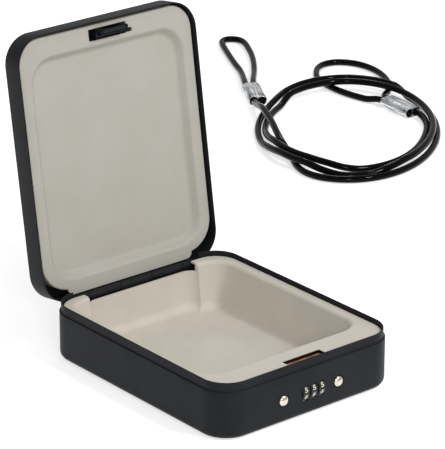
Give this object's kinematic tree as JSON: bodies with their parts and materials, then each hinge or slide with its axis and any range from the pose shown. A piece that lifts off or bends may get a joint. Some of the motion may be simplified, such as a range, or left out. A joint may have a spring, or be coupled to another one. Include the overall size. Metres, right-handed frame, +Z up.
{
  "type": "portable car safe",
  "caption": "Flat lockable steel box with a hinged lid open, moulded liners, code dials, release buttons and a loose looped security cable.",
  "frame": {"origin": "middle of the flat underside of the base, on the surface that the case stands on", "axes": "+Z up, -Y out of the front with the dials, +X to the right along the front"},
  "size_m": [0.611, 0.6738, 0.2326],
  "materials": {
    "black_steel": "satin black powder coat",
    "base_liner_plastic": "matt moulded plastic, warm light grey",
    "lid_liner_plastic": "matt moulded plastic, grey beige",
    "bronze_zinc": "bronze coloured zinc plating",
    "zinc_plate": "bright zinc plating",
    "satin_nickel": "pearly satin nickel",
    "dial_plastic": "black moulded plastic",
    "acetal": "natural moulded plastic",
    "spring_steel": "plain spring steel",
    "cable_sleeve": "glossy black sleeve over steel rope",
    "ferrule_aluminium": "bright pressed aluminium"
  },
  "bodies": {
    "case": {"base_shell": "black_steel", "base_liner": "base_liner_plastic", "hinge_leaf_base": "black_steel", "hinge_pin": "zinc_plate", "base_hinge_rivet_1": "black_steel", "base_hinge_rivet_2": "black_steel", "base_hinge_rivet_3": "black_steel", "lock_frame": "bronze_zinc", "frame_nut_left": "zinc_plate", "frame_nut_right": "zinc_plate", "dial_shaft": "zinc_plate", "dial_spacer_left": "acetal", "dial_spacer_right": "acetal", "code_fence": "zinc_plate", "detent_spring": "spring_steel", "button_guide_left": "dial_plastic", "button_guide_right": "dial_plastic", "return_spring_left": "spring_steel", "return_spring_right": "spring_steel", "security_cable": "cable_sleeve", "ferrule_a": "ferrule_aluminium", "ferrule_b": "ferrule_aluminium"},
    "lid": {"lid_shell": "black_steel", "lid_liner": "lid_liner_plastic", "hinge_leaf_lid": "black_steel", "lid_hinge_rivet_1": "black_steel", "lid_hinge_rivet_2": "black_steel", "lid_hinge_rivet_3": "black_steel", "striker_bracket": "black_steel", "striker_rod": "black_steel", "striker_cross_pin": "black_steel", "striker_nut_1": "zinc_plate", "striker_nut_2": "zinc_plate"},
    "dial_1": {"dial_wheel_1": "dial_plastic", "dial_sleeve_1": "acetal"},
    "dial_2": {"dial_wheel_2": "dial_plastic", "dial_sleeve_2": "acetal"},
    "dial_3": {"dial_wheel_3": "dial_plastic", "dial_sleeve_3": "acetal"},
    "release_left": {"release_button_left": "satin_nickel", "latch_hook_left": "bronze_zinc"},
    "release_right": {"release_button_right": "satin_nickel", "latch_hook_right": "bronze_zinc"},
    "code_lever": {"code_lever": "zinc_plate"}
  },
  "joints": [
    {"name": "lid_hinge", "type": "hinge", "parent": "case", "child": "lid", "pos_m": [0, 0.0998, 0.0353], "axis": [1, 0, 0], "range_deg": [0, 98.7]},
    {"name": "dial_1_turn", "type": "hinge", "parent": "case", "child": "dial_1", "pos_m": [-0.00545, -0.0927, 0.0176], "axis": [1, 0, 0], "continuous": true},
    {"name": "dial_2_turn", "type": "hinge", "parent": "case", "child": "dial_2", "pos_m": [0.0019, -0.0927, 0.0176], "axis": [1, 0, 0], "continuous": true},
    {"name": "dial_3_turn", "type": "hinge", "parent": "case", "child": "dial_3", "pos_m": [0.00925, -0.0927, 0.0176], "axis": [1, 0, 0], "continuous": true},
    {"name": "release_left_press", "type": "slide", "parent": "case", "child": "release_left", "axis": [0, 1, 0], "range_m": [0, 0.0032], "stiffness_N_per_m": 500, "springref_m": -0.004, "deforming": ["return_spring_left"]},
    {"name": "release_right_press", "type": "slide", "parent": "case", "child": "release_right", "axis": [0, 1, 0], "range_m": [0, 0.0032], "stiffness_N_per_m": 500, "springref_m": -0.004, "deforming": ["return_spring_right"]},
    {"name": "code_lever_slide", "type": "slide", "parent": "case", "child": "code_lever", "axis": [1, 0, 0], "range_m": [0, 0.004]}
  ]
}
